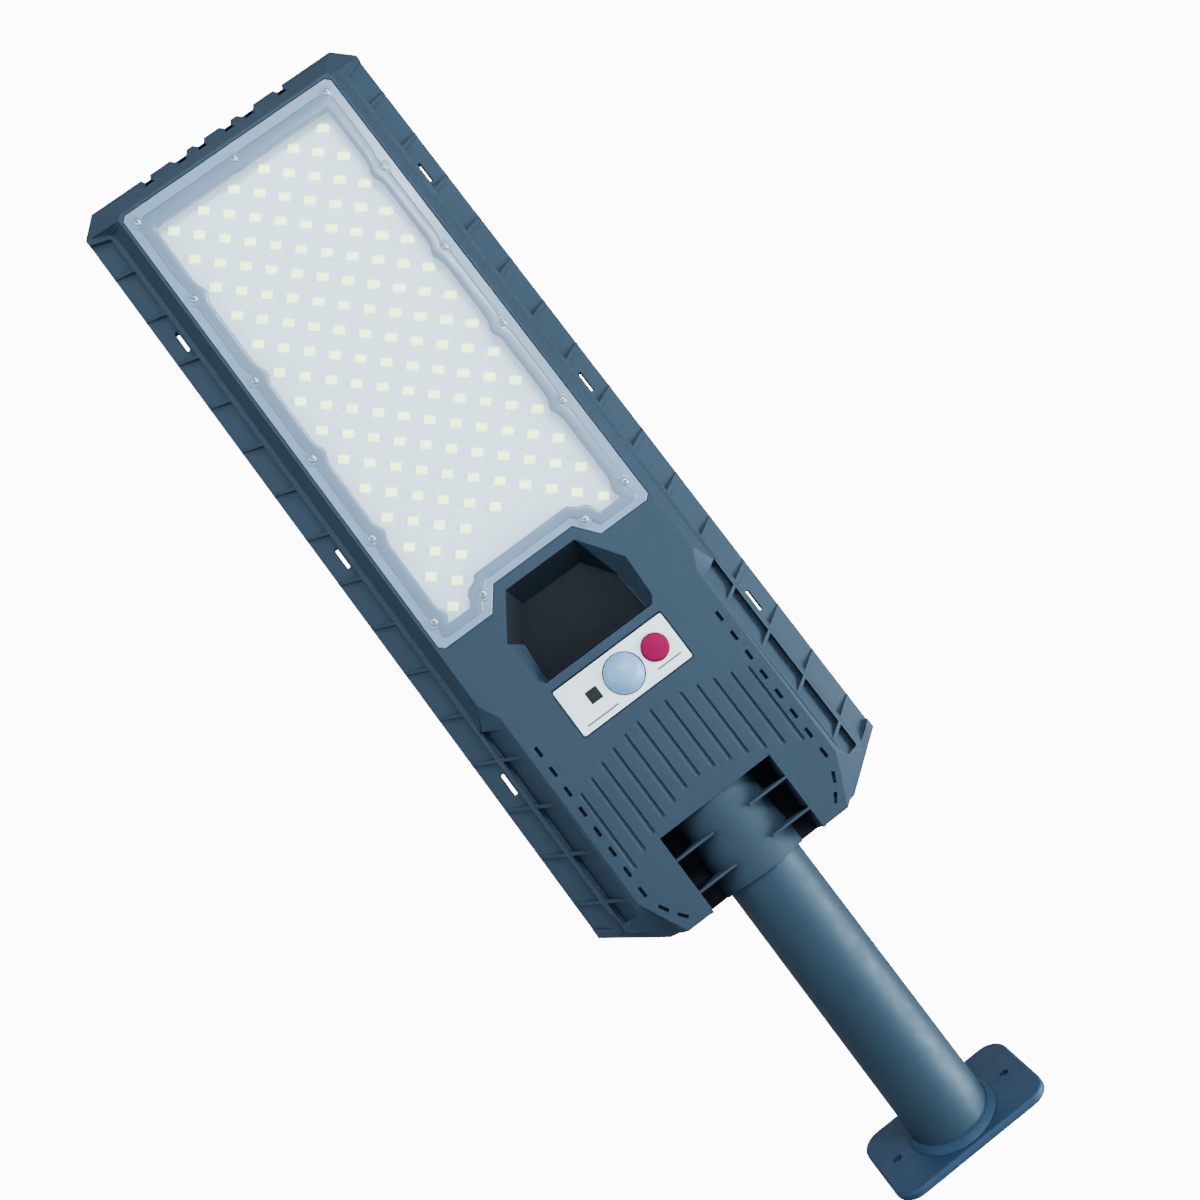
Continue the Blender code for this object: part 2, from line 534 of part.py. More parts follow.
def build_led_unit():
    holes = [disc(x, y, 1.8, 20, 35, 8) for x, y in LENS_SCREWS]
    rim_top = COVER_Z + COVER_T
    rim = slab(cover_outline(), (COVER_Z, 0), (rim_top - 0.5, 0), (rim_top, 0.5))
    cover = part("lens_cover", [rim], CLEAR)
    raised = slab(window_outline(), (rim_top - 0.5, 0), (rim_top + COVER_STEP, 2.0))
    combine(cover, [raised], 'UNION')
    under_window = window_outline(WINDOW_HALF - 2.5, WINDOW_LOW + 2.5, WINDOW_HIGH - 2.5)
    combine(cover, holes + [slab(under_window, (20, 0), (COVER_Z + COVER_STEP, 0))], 'DIFFERENCE')
    bead = ring_solid(inset(cover_outline(), 1.0), inset(cover_outline(6.5), 9.3), 26.5, 27.0)
    gasket = part("lens_gasket", [bead], RUBBER)
    combine(gasket, holes, 'DIFFERENCE')
    head = [(1.2, 20.2), (1.2, rim_top + GAP), (3.0, rim_top + GAP), (2.4, 31.0)]
    for number, (x, y) in enumerate(LENS_SCREWS, 1):
        part(f"lens_screw_{number:02d}", [turned(head, x, y, 8)], STEEL)
    board_z, board_t = TRAY_FLOOR + GAP, 1.6
    part("led_board", [slab(window_outline(64.5, 225.5, 524.5), (board_z, 0), (board_z + board_t, 0))], WHITE)
    # each column of chips stands on its copper track, and one track across the far end joins them
    z = board_z + board_t + GAP
    columns = sorted({x for x, y in led_places()})
    rails = []
    for x in columns:
        rows = sorted(y for cx, y in led_places() if cx == x)
        profile = [(LED_TOP_Y + 4, z), (LED_TOP_Y + 4, z + 0.2)]
        for y in reversed(rows):
            profile += [(y + LED_W / 2, z + 0.2), (y + LED_W / 2, z + LED_T), (y - LED_W / 2, z + LED_T),
                        (y - LED_W / 2, z + 0.2)]
        profile += [(rows[0] - LED_W / 2 - 1, z + 0.2), (rows[0] - LED_W / 2 - 1, z)]
        rails.append(loft([[(side, y, h) for y, h in profile] for side in (x + LED_L / 2, x - LED_L / 2)]))
    array = part("led_array", [box(columns[0], columns[-1], LED_TOP_Y + 3, LED_TOP_Y + 4.5, z, z + 0.15)],
                 ((0.86, 0.93, 0.7), 0.35))
    combine(array, rails, 'UNION')


# ---- sensor and switch ----
def build_sensor_group():
    sheet = slab(rounded(LABEL_HALF, LABEL_LOW, LABEL_HIGH, 1.2, 2), (Z_FACE - 0.9, 0), (Z_FACE + 0.3, 0))
    plate = part("label_plate", [sheet], WHITE)
    combine(plate, [disc(DOME_X, DOME_Y, DOME_R + GAP, 20, 35, 32),
                    disc(BUTTON_X, BUTTON_Y, BUTTON_R + 0.4, 20, 35, 28),
                    box(IR_X - 4, IR_X + 4, IR_Y - 4, IR_Y + 4, 20, 35)], 'DIFFERENCE')
    # dome: a flange under the frame's face and a hollow cap of three quarters of its radius
    cap = [(DOME_R, Z_FACE - 1.0)]
    cap += [(DOME_R * cos(radians(a)), Z_FACE - 1.0 + 8.0 * sin(radians(a))) for a in (25, 50, 75)]
    milky = ((0.5, 0.66, 0.76), 0.3, 0.0, 0.8)
    dome = part("pir_dome", [turned([(DOME_R, 25.2)] + cap, DOME_X, DOME_Y, 24)], milky, smooth=True)
    hollow = [(DOME_R - 1.5, 20)] + [(r - 1.5, z - 1.5) for r, z in cap]
    combine(dome, [turned(hollow, DOME_X, DOME_Y, 24)], 'DIFFERENCE')
    pane = box(IR_X - IR_HALF, IR_X + IR_HALF, IR_Y - IR_HALF, IR_Y + IR_HALF, 27.2, Z_FACE + 0.2)
    part("ir_window", [pane], ((0.06, 0.06, 0.07), 0.2))
    stem = [(2.0, 21.6), (2.0, 23.2), (BUTTON_R, 23.2)]
    crown = [(BUTTON_R, Z_FACE + 2.4), (BUTTON_R - 0.5, Z_FACE + 3.0), (BUTTON_R - 1.4, Z_FACE + 3.3)]
    button = turned(stem + crown, BUTTON_X, BUTTON_Y, 28)
    part("button_cap", [button], ((0.5, 0.02, 0.12), 0.35), smooth=True)
    half = 6.2
    switch = box(BUTTON_X - half, BUTTON_X + half, BUTTON_Y - half, BUTTON_Y + half, 14.3, 18.6)
    part("switch_body", [switch], RUBBER)
    coil(3.4, 18.95, 22.85)
    board = part("control_board", [box(-38, 38, 115, 159, 12.4, 14.0)], ((0.02, 0.16, 0.06), 0.5))
    can = turned([(4.6, 14.3), (4.6, 15.0), (4.1, 15.0), (4.1, 18.6)], DOME_X, DOME_Y, 20)
    part("pir_sensor", [can], STEEL, smooth=True)
    part("ir_receiver", [box(IR_X - 2.9, IR_X + 2.9, IR_Y - 2.6, IR_Y + 2.6, 14.3, 21.5)], RUBBER)
    root = 12.9                            # the fitted parts start inside the board
    fitted = [box(-30, -22, 125, 131, 10.2, root), box(-8, 4, 146, 155, 9.0, root)]
    fitted += [box(12, 20, 122, 131, 8.0, root), box(-20, -13, 117, 122, 10.6, root)]
    fitted += [disc(-26, 147, 4.0, 2.0, root, 14), disc(-15, 149, 3.2, 3.5, root, 12)]
    fitted += [disc(14, 150, 5.5, 6.5, root, 14)]
    fitted += [box(x - 4, x + 4, y0, y0 + 6, 6.5, root) for x, y0 in SOCKETS]
    combine(board, fitted, 'UNION')


def coil(radius, z0, z1):
    """Return spring of the push button, a round wire on a helix."""
    turns, per_turn, wire_r, sides = 3.5, 10, 0.35, 4
    steps = int(turns * per_turn)
    rings = []
    for k in range(steps + 1):
        a = 2 * pi * k / per_turn
        z = z0 + wire_r + (z1 - z0 - 2 * wire_r) * k / steps
        ring = []
        for j in range(sides):
            b = 2 * pi * j / sides
            r = radius + wire_r * cos(b)
            ring.append((BUTTON_X + r * cos(a), BUTTON_Y + r * sin(a), z + wire_r * sin(b)))
        rings.append(list(reversed(ring)))
    part("button_spring", [loft(rings)], STEEL)


# ---- solar panel ----
def build_panel():
    outline = rounded(PANEL_HALF, PANEL_LOW, PANEL_HIGH, 2.5, 2)
    tinted = ((0.2, 0.3, 0.4), 0.08, 0.0, 0.35)
    part("solar_glass", [slab(outline, (-29.9, 0.5), (-29.4, 0), (-27.3, 0))], tinted)
    columns, rows, space = 2, 12, 1.6
    width = (2 * PANEL_HALF - 12.0) / columns
    height = (PANEL_HIGH - PANEL_LOW - 12.0) / rows
    centres = [-PANEL_HALF + 6 + (c + 0.5) * width for c in range(columns)]
    low, high = PANEL_LOW + 6, PANEL_HIGH - 6
    cells = []
    for x in centres:
        for r in range(rows):
            y = low + r * height
            half, edge = (width - space) / 2, space / 2
            cells.append(box(x - half, x + half, y + edge, y + height - edge, -27.0, -26.75))
    # ribbons join each column's cells in a string, and one across the tail joins the two strings
    strings = part("solar_cells", [box(centres[0] - 20, centres[-1] + 20, low - 3, low - 1, -26.85, -26.7)],
                   ((0.012, 0.02, 0.06), 0.25))
    combine(strings, [box(x - 0.8, x + 0.8, low - 2.5, high - 4, -26.85, -26.7) for x in centres],
            'UNION')
    combine(strings, cells, 'UNION')
    part("solar_backsheet", [slab(outline, (-26.4, 0), (-25.6, 0))], WHITE)
    bead = [rounded(PANEL_HALF - d, PANEL_LOW + d, PANEL_HIGH - d, 2.0, 2) for d in (1.5, 7.5)]
    part("panel_sealant", [ring_solid(*bead, -25.3, -24.8)], RUBBER)
    part("solar_terminal_box", [box(-15, 15, 122, 144, -25.3, -14.0)], RUBBER)


# ---- power pack ----
def build_power_pack():
    pitch = 2 * CELL_R + 0.8
    xs = [pitch * (k - (CELL_COUNT - 1) / 2) for k in range(CELL_COUNT)]
    y0, y1 = CELL_Y - CELL_L / 2, CELL_Y + CELL_L / 2
    sleeve = ((0.05, 0.25, 0.5), 0.4)
    for number, x in enumerate(xs, 1):
        part(f"battery_cell_{number}", [bar(x, CELL_Z, CELL_R, y0, y1, 24)], sleeve, smooth=True)
    floor = PANEL_FLOOR + WALL + GAP
    wide = xs[-1] + CELL_R + 2.5
    holder = part("battery_holder", [box(-wide, wide, y0 - 4, y1 + 4, floor, floor + 13.0)], RUBBER)
    seats = [bar(x, CELL_Z, CELL_R + GAP, y0 - 1.2, y1 + 1.2, 28) for x in xs]
    combine(holder, seats, 'DIFFERENCE', overlapping=True)
    top = CELL_Z + CELL_R
    band = box(-wide - 1.6, wide + 1.6, CELL_Y - 6, CELL_Y + 6, floor, top + 1.5)
    strap = part("battery_strap", [band], RUBBER)
    combine(strap, [box(-wide - GAP, wide + GAP, y0 - 10, y1 + 10, floor - 1, top + GAP)], 'DIFFERENCE')
    board = box(-26, 26, y0 - 22, y0 - 6, floor + 3, floor + 4.6)
    protection = part("protection_board", [board], ((0.02, 0.16, 0.06), 0.5))
    combine(protection, [disc(x, y0 - 14, 2.5, floor, floor + 4, 10) for x in (-20, 20)]
            + [box(-6, 6, y0 - 18, y0 - 10, floor + 4, floor + 6.6)], 'UNION')


def build_fasteners():
    profile = [(2.9, -12.0), (2.9, -9.3), (1.3, -9.3), (1.3, 9.0)]
    for number, (x, y) in enumerate(SHELL_SCREWS, 1):
        part(f"shell_screw_{number}", [turned(profile, x, y, 8)], STEEL)
    for number, y in enumerate(CLAMP_Y, 1):
        head = turned([(5.6, Z_BACK - 10.5), (5.6, Z_BACK - 6.3)], 0, y, 6)
        bolt = part(f"clamp_bolt_{number}", [head], STEEL)
        combine(bolt, [disc(0, y, 2.8, Z_BACK - 8, -TUBE_R - GAP, 16)], 'UNION')
        nut = part(f"clamp_nut_{number}", [turned([(5.7, -31.6), (5.7, -26.6)], 0, y, 6)], STEEL)
        combine(nut, [disc(0, y, 3.1, -40, -20, 16)], 'DIFFERENCE')


def build_wires():
    red, black, grey = ((0.5, 0.02, 0.02), 0.5), ((0.02, 0.02, 0.02), 0.5), ((0.5, 0.5, 0.5), 0.5)
    plug = 9.4                             # height of the plugs under the control board
    wire("solar_wire_red", [(8, 144.4, -18), (9, 156, -16), (24, 166, -8), (44, 160, 2), (45, 146, 8),
                            (35, 139, plug), (28.4, 139, plug)], 1.1, red)
    wire("solar_wire_black", [(-8, 144.4, -18), (-9, 158, -16), (-26, 168, -8), (-47, 158, 2), (-47, 142, 8),
                              (-41, 137, plug), (-37.4, 137, plug)], 1.1, black)
    wire("battery_wire_red", [(10, 272.4, -15), (11, 262, -13), (14, 220, -6), (12, 180, 0), (8, 150, 1),
                              (4, 124, 3), (0, 122, plug), (0, 132.6, plug)], 1.1, red)
    wire("battery_wire_black", [(-10, 272.4, -15), (-11, 262, -13), (-14, 220, -6), (-12, 180, 0),
                                (-9, 150, -1), (-8, 124, 2), (-4, 122, plug), (-4, 132.6, plug)], 1.1, black)
    wire("led_lead", [(37.4, 151, plug), (44, 153, plug), (52, 162, 12), (54, 185, 13), (54, 215, 13),
                      (54, 232, 14)], 1.3, grey)


build_bracket()
build_front_frame()
build_back_shell()
build_led_unit()
build_sensor_group()
build_panel()
build_power_pack()
build_fasteners()
build_wires()
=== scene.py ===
"""Solar street lamp: the looks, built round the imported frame.

Pieces of the head are drawn in the head's own frame, in millimetres: +x across, +y from the tail
to the far end, +z out of the LED face. The frame's joint axis and node sizes give that frame.
"""
import json
import random
from math import cos, exp, pi, radians, sin

import bmesh
import bpy
from mathutils import Matrix, Vector


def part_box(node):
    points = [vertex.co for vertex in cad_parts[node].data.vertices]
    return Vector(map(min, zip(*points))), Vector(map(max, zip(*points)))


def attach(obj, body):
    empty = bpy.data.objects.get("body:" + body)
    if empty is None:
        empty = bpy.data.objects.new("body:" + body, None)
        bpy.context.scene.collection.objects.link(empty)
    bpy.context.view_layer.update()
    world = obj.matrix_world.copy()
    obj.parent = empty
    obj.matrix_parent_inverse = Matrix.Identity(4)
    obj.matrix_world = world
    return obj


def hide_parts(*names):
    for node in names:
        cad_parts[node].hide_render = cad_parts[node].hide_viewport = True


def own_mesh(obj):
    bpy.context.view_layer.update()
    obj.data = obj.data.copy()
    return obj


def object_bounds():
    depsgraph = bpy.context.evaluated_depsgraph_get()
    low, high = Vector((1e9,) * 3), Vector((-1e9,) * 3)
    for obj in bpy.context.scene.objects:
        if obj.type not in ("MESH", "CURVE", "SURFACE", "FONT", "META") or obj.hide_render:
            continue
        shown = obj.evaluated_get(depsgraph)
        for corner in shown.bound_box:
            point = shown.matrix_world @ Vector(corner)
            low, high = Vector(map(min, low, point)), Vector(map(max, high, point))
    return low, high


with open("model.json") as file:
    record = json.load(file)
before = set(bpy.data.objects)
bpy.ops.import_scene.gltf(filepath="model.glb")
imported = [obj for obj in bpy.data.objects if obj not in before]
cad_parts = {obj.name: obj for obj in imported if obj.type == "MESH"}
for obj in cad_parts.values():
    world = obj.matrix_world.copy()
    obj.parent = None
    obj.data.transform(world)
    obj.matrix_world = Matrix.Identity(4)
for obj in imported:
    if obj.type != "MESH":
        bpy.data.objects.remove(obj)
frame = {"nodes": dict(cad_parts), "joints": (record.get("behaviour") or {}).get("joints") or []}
CAD_BOX = [list(corner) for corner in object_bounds()]
NODES = frame["nodes"]
random.seed(7)

MM = 0.001

# ---- the head's frame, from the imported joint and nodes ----
ALONG = Vector(next(j for j in frame["joints"] if j["name"] == "head_slide")["axis"]).normalized()
ACROSS = Vector((1.0, 0.0, 0.0))
OUT = ACROSS.cross(ALONG)
BASIS = Matrix((ACROSS, ALONG, OUT)).transposed()


def raw_span(node):
    """A node's lowest and highest corner along (across, along, out), in metres from the row origin."""
    points = [BASIS.inverted() @ v.co for v in NODES[node].data.vertices]
    return (Vector([min(p[k] for p in points) for k in range(3)]),
            Vector([max(p[k] for p in points) for k in range(3)]))


TUBE_SPAN = raw_span("arm_tube")
TAIL = Vector((0.0, raw_span("front_frame")[0].y, (TUBE_SPAN[0].z + TUBE_SPAN[1].z) / 2))
HEAD = BASIS.to_4x4() @ Matrix.Translation(TAIL)


def span(node):
    """A node's lowest and highest corner in the head's frame, in millimetres."""
    return tuple((corner - TAIL) / MM for corner in raw_span(node))


def centre(node):
    low, high = span(node)
    return (low + high) / 2


def in_head(point):
    """A point in metres, such as a vertex of a node or piece, in the head's frame in millimetres."""
    return (BASIS.inverted() @ point - TAIL) / MM


def joint_range(name):
    return next(j for j in frame["joints"] if j["name"] == name)["range_m"]


# ---- node materials ----
class Shade:
    """Small helper round one Principled material's node tree."""

    def __init__(self, name, colour, roughness, metallic=0.0, **sockets):
        self.mat = bpy.data.materials.new(name)
        self.mat.use_nodes = True
        self.tree = self.mat.node_tree
        self.bsdf = self.tree.nodes["Principled BSDF"]
        self.bsdf.inputs["Base Color"].default_value = (*colour, 1.0)
        self.bsdf.inputs["Roughness"].default_value = roughness
        self.bsdf.inputs["Metallic"].default_value = metallic
        for socket, value in sockets.items():
            self.bsdf.inputs[socket.replace("_", " ")].default_value = value
        self.colour = colour
        self.place = self.node("ShaderNodeTexCoord").outputs["Object"]

    def node(self, kind, **settings):
        made = self.tree.nodes.new(kind)
        for key, value in settings.items():
            setattr(made, key, value)
        return made

    def link(self, a, b):
        self.tree.links.new(a, b)

    def noise(self, scale, detail, stretch=None):
        made = self.node("ShaderNodeTexNoise")
        made.inputs["Scale"].default_value = scale
        made.inputs["Detail"].default_value = detail
        made.inputs["Roughness"].default_value = 0.55
        place = self.place
        if stretch:
            mapping = self.node("ShaderNodeMapping")
            mapping.inputs["Scale"].default_value = stretch
            self.link(place, mapping.inputs["Vector"])
            place = mapping.outputs["Vector"]
        self.link(place, made.inputs["Vector"])
        return made.outputs["Fac"]

    def ramp(self, fac, *stops):
        """Colour ramp through (position, colour) stops."""
        made = self.node("ShaderNodeValToRGB")
        ramp = made.color_ramp
        while len(ramp.elements) < len(stops):
            ramp.elements.new(0.5)
        for element, (position, colour) in zip(ramp.elements, stops):
            element.position = position
            element.color = (*colour, 1.0)
        self.link(fac, made.inputs["Fac"])
        return made.outputs["Color"]

    def tint(self, fac, spread):
        """Base colour that drifts by the share spread on each side of its own value."""
        dark = tuple(c * (1 - spread) for c in self.colour)
        light = tuple(min(1.0, c * (1 + spread)) for c in self.colour)
        self.link(self.ramp(fac, (0.3, dark), (0.7, light)), self.bsdf.inputs["Base Color"])
        return self

    def gloss(self, fac, low, high):
        """Roughness that drifts between low and high."""
        made = self.node("ShaderNodeMapRange")
        made.inputs["From Min"].default_value = 0.3
        made.inputs["From Max"].default_value = 0.7
        made.inputs["To Min"].default_value = low
        made.inputs["To Max"].default_value = high
        self.link(fac, made.inputs["Value"])
        self.link(made.outputs["Result"], self.bsdf.inputs["Roughness"])
        return self

    def bump(self, fac, distance_mm):
        made = self.node("ShaderNodeBump")
        made.inputs["Strength"].default_value = 1.0
        made.inputs["Distance"].default_value = distance_mm * MM
        self.link(fac, made.inputs["Height"])
        self.link(made.outputs["Normal"], self.bsdf.inputs["Normal"])
        return self


def moulded(name, colour, roughness=0.45, grain=0.03, **sockets):
    """Moulded plastic: faint flow shading, a fine spark-eroded grain and patchy gloss."""
    shade = Shade(name, colour, roughness, **sockets)
    shade.tint(shade.noise(9.0, 3.0), 0.08)
    shade.gloss(shade.noise(60.0, 4.0), roughness - 0.03, roughness + 0.04)
    shade.bump(shade.noise(2600.0, 2.0), grain)
    return shade.mat


def painted(name, colour, roughness):
    """Powder coat: orange-peel bumps over a slightly uneven colour."""
    shade = Shade(name, colour, roughness, Specular_IOR_Level=0.5, Specular_Tint=(0.50, 0.80, 1.0, 1.0))
    shade.tint(shade.noise(14.0, 4.0), 0.08)
    shade.gloss(shade.noise(120.0, 3.0), roughness - 0.05, roughness + 0.08)
    shade.bump(shade.noise(700.0, 3.0), 0.05)
    return shade.mat


def metal(name, colour, roughness=0.28):
    """Plated or brushed metal with fine directional scratches."""
    shade = Shade(name, colour, roughness, 1.0)
    lines = shade.noise(900.0, 3.0, stretch=(1, 1, 12))
    shade.tint(lines, 0.10)
    shade.gloss(lines, roughness - 0.08, roughness + 0.12)
    shade.bump(lines, 0.01)
    return shade.mat


def rubbery(name, colour):
    """Rubber or lead insulation: dull, faintly uneven and soft-grained."""
    shade = Shade(name, colour, 0.75)
    shade.tint(shade.noise(40.0, 4.0), 0.15)
    shade.bump(shade.noise(900.0, 3.0), 0.04)
    return shade.mat


def clear(name, colour, alpha, roughness):
    """Clear moulded plastic as a thin tinted film over what lies under it."""
    shade = Shade(name, colour, roughness, Alpha=alpha)
    shade.tint(shade.noise(12.0, 2.0), 0.05)
    shade.gloss(shade.noise(45.0, 3.0), roughness, roughness + 0.05)
    return shade.mat


def frosted(name, colour, alpha):
    """Frosted plastic: pale, half opaque, with a cloudy fine etch."""
    shade = Shade(name, colour, 0.38, Alpha=alpha, Coat_Weight=0.3, Coat_Roughness=0.15)
    shade.tint(shade.noise(18.0, 5.0), 0.07)
    shade.gloss(shade.noise(80.0, 4.0), 0.32, 0.46)
    shade.bump(shade.noise(1500.0, 2.0), 0.02)
    return shade.mat


def silicon(name):
    """Solar cell: deep blue with faint crystal shading."""
    shade = Shade(name, (0.010, 0.018, 0.052), 0.22, Coat_Weight=0.6, Coat_Roughness=0.08)
    flake = shade.node("ShaderNodeTexVoronoi")
    flake.inputs["Scale"].default_value = 90.0
    shade.link(shade.place, flake.inputs["Vector"])
    blues = shade.ramp(flake.outputs["Distance"], (0.0, (0.006, 0.011, 0.035)), (0.6, (0.016, 0.028, 0.075)))
    shade.link(blues, shade.bsdf.inputs["Base Color"])
    shade.gloss(shade.noise(50.0, 3.0), 0.18, 0.28)
    return shade.mat


def tracks_under_mask(shade, scale, line, mask, patch, copper):
    """Solder mask in two close tones, with a net of copper tracks showing through it."""
    tracks = shade.node("ShaderNodeTexBrick")
    tracks.inputs["Scale"].default_value = scale
    tracks.inputs["Mortar Size"].default_value = line
    for socket, colour in (("Color1", mask), ("Color2", patch), ("Mortar", copper)):
        tracks.inputs[socket].default_value = (*colour, 1)
    shade.link(shade.place, tracks.inputs["Vector"])
    shade.link(tracks.outputs["Color"], shade.bsdf.inputs["Base Color"])


def board_mask_painted_glow(name):
    """White solder mask, faintly blue, with painted light: it glows a little so that the LED window looks
    bright.
    """
    mask = (0.60, 0.76, 0.86)
    shade = Shade(name, mask, 0.42, Emission_Color=(0.55, 0.80, 1.0, 1.0), Emission_Strength=0.45)
    tracks_under_mask(shade, 45.0, 0.012, mask, (0.58, 0.74, 0.85), (0.68, 0.82, 0.90))
    shade.gloss(shade.noise(40.0, 4.0), 0.36, 0.5)
    shade.bump(shade.noise(300.0, 3.0), 0.01)
    return shade.mat


def circuit(name):
    """Green solder mask with a tracery of lighter copper under it."""
    mask = (0.012, 0.10, 0.045)
    shade = Shade(name, mask, 0.4)
    tracks_under_mask(shade, 160.0, 0.04, mask, (0.010, 0.085, 0.04), (0.03, 0.22, 0.09))
    shade.gloss(shade.noise(70.0, 3.0), 0.32, 0.5)
    return shade.mat


SLATE = moulded("slate_housing", (0.0205, 0.036, 0.056), 0.55, 0.03, Specular_IOR_Level=0.22,
                Specular_Tint=(0.62, 0.84, 1.0, 1.0))
# Painted shade: a darker, duller copy of the housing plastic for the well and the cells beside the sleeve,
# where shade falls.
SLATE_PAINTED_SHADE = moulded("slate_painted_shade", (0.0024, 0.0055, 0.0092), 0.60, 0.02, Specular_IOR_Level=0.12)
SLATE_BACK = moulded("slate_back", (0.015, 0.028, 0.044), 0.50, 0.04, Specular_IOR_Level=0.35)
ARM_PAINT = painted("arm_powder_coat", (0.012, 0.025, 0.042), 0.50)
PLATE_PAINT = painted("plate_powder_coat", (0.009, 0.026, 0.060), 0.60)
BORDER = frosted("cover_border", (0.18, 0.29, 0.43), 0.86)
BORDER_IN = frosted("cover_border_inner", (0.14, 0.235, 0.35), 0.78)
WINDOW = clear("cover_window", (0.86, 0.92, 0.97), 0.06, 0.04)
BOARD_PAINTED_GLOW = board_mask_painted_glow("board_mask_painted_glow")
PAD = metal("solder_pads", (0.80, 0.82, 0.84), 0.35)
# Painted glow: the chips' bodies and phosphor carry emission so that they look bright.
CHIP_BODY_PAINTED_GLOW = moulded("chip_body_painted_glow", (0.88, 1.0, 0.74), 0.35, 0.01,
                    Emission_Color=(0.72, 1.0, 0.58, 1.0), Emission_Strength=2.0)
PHOSPHOR_PAINTED_GLOW = moulded("chip_phosphor_painted_glow", (0.82, 1.0, 0.36), 0.30, 0.01,
                   Emission_Color=(0.66, 1.0, 0.30, 1.0), Emission_Strength=3.2)
LABEL = moulded("label_plate", (0.76, 0.95, 1.0), 0.38, 0.015)
PRINT = moulded("label_marks", (0.10, 0.13, 0.16), 0.5, 0.01)
DOME = frosted("sensor_dome", (0.16, 0.34, 0.58), 0.95)
SMOKED = moulded("smoked_window", (0.012, 0.014, 0.016), 0.40, 0.005, Specular_IOR_Level=0.2)
CRIMSON = moulded("button_crimson", (0.20, 0.0006, 0.048), 0.50, 0.01, Specular_IOR_Level=0.05)
STEEL = metal("plated_steel", (0.62, 0.64, 0.67))
ZINC = metal("zinc_screw", (0.36, 0.44, 0.54), 0.46)
RUBBER = rubbery("black_rubber", (0.022, 0.022, 0.025))
BLACK_PLASTIC_AND_PAINTED_SHADE = moulded("black_plastic", (0.020, 0.021, 0.024), 0.5, 0.03)
GREEN = circuit("green_circuit")
CELL = silicon("silicon")
BUSBAR = metal("tinned_ribbon", (0.60, 0.62, 0.66), 0.4)
GLASS = clear("panel_glass", (0.10, 0.16, 0.24), 0.16, 0.05)
SHEET = moulded("backsheet", (0.72, 0.73, 0.74), 0.5, 0.01)
WRAP = moulded("cell_wrap", (0.020, 0.13, 0.33), 0.3, 0.01)
RED_LEAD = rubbery("red_lead", (0.42, 0.012, 0.012))
BLACK_LEAD = rubbery("black_lead", (0.015, 0.015, 0.015))
GREY_LEAD = rubbery("grey_lead", (0.35, 0.35, 0.36))


# ---- shapes ----
def loft(rings, closed=False):
    """(vertices, faces) through rings of equal length; closed joins the last ring to the first."""
    n = len(rings[0])
    verts = [p for ring in rings for p in ring]
    faces = [] if closed else [tuple(reversed(range(n)))]
    count = len(rings) if closed else len(rings) - 1
    for k in range(count):
        a, b = k * n, (k + 1) % len(rings) * n
        faces += [(a + i, a + (i + 1) % n, b + (i + 1) % n, b + i) for i in range(n)]
    if not closed:
        faces.append(tuple(range((len(rings) - 1) * n, len(rings) * n)))
    return verts, faces


def inset(outline, d):
    """Move every edge of an anticlockwise outline inwards by d, with mitred corners."""
    if not d:
        return list(outline)
    n, out = len(outline), []
    for i in range(n):
        p0, p1, p2 = (Vector(outline[(i + k) % n]) for k in (-1, 0, 1))
        e0, e1 = (p1 - p0).normalized(), (p2 - p1).normalized()
        n0, n1 = Vector((-e0.y, e0.x)), Vector((-e1.y, e1.x))
        m = (n0 + n1) / (1.0 + n0.dot(n1))
        out.append((p1.x + m.x * d, p1.y + m.y * d))
    return out


def slab(outline, *levels):
    """Stack an outline at (z, inset) levels, from low z to high z."""
    return loft([[(x, y, z) for x, y in inset(outline, d)] for z, d in levels])


def circle(x, y, r, sides):
    return [(x + r * cos(2 * pi * k / sides), y + r * sin(2 * pi * k / sides)) for k in range(sides)]


def turned(profile, x, y, sides=48):
    """Solid of revolution about a line along z, through (radius, z) points that run upwards."""
    return loft([[(px, py, z) for px, py in circle(x, y, r, sides)] for r, z in profile])


def turn(shell, matrix):
    return [tuple(matrix @ Vector(v)) for v in shell[0]], shell[1]


def piece(name, shells, mats, body, replaces=(), sharp=35):
    """Join shells, in millimetres in the head's frame, into one piece. A shell may carry a material index."""
    mesh = bpy.data.meshes.new(name)
    bm = bmesh.new()
    for shell in shells:
        verts, faces = shell[:2]
        index = shell[2] if len(shell) > 2 else 0
        made = [bm.verts.new(HEAD @ (Vector(v) * MM)) for v in verts]
        for face in faces:
            bm.faces.new([made[i] for i in face]).material_index = index
    bmesh.ops.recalc_face_normals(bm, faces=bm.faces)
    bm.to_mesh(mesh)
    bm.free()
    for mat in mats if isinstance(mats, list) else [mats]:
        mesh.materials.append(mat)
    return finish_piece(name, mesh, body, replaces, sharp)


def finish_piece(name, mesh, body, replaces, sharp, bevel=0.0, segments=2):
    """Shade a mesh, round its edges by bevel millimetres, and let it ride on a body."""
    mesh.shade_smooth()
    mesh.set_sharp_from_angle(angle=radians(sharp))
    obj = bpy.data.objects.new(name, mesh)
    bpy.context.scene.collection.objects.link(obj)
    if bevel:
        mod = obj.modifiers.new("edges", 'BEVEL')
        mod.width = bevel * MM
        mod.segments = segments
        mod.limit_method = 'ANGLE'
        mod.angle_limit = radians(28)
        mod.use_clamp_overlap = False
        mod.loop_slide = False
        obj.modifiers.new("shading", 'WEIGHTED_NORMAL').keep_sharp = False
    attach(obj, body)
    if replaces:
        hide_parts(*replaces)
    return obj


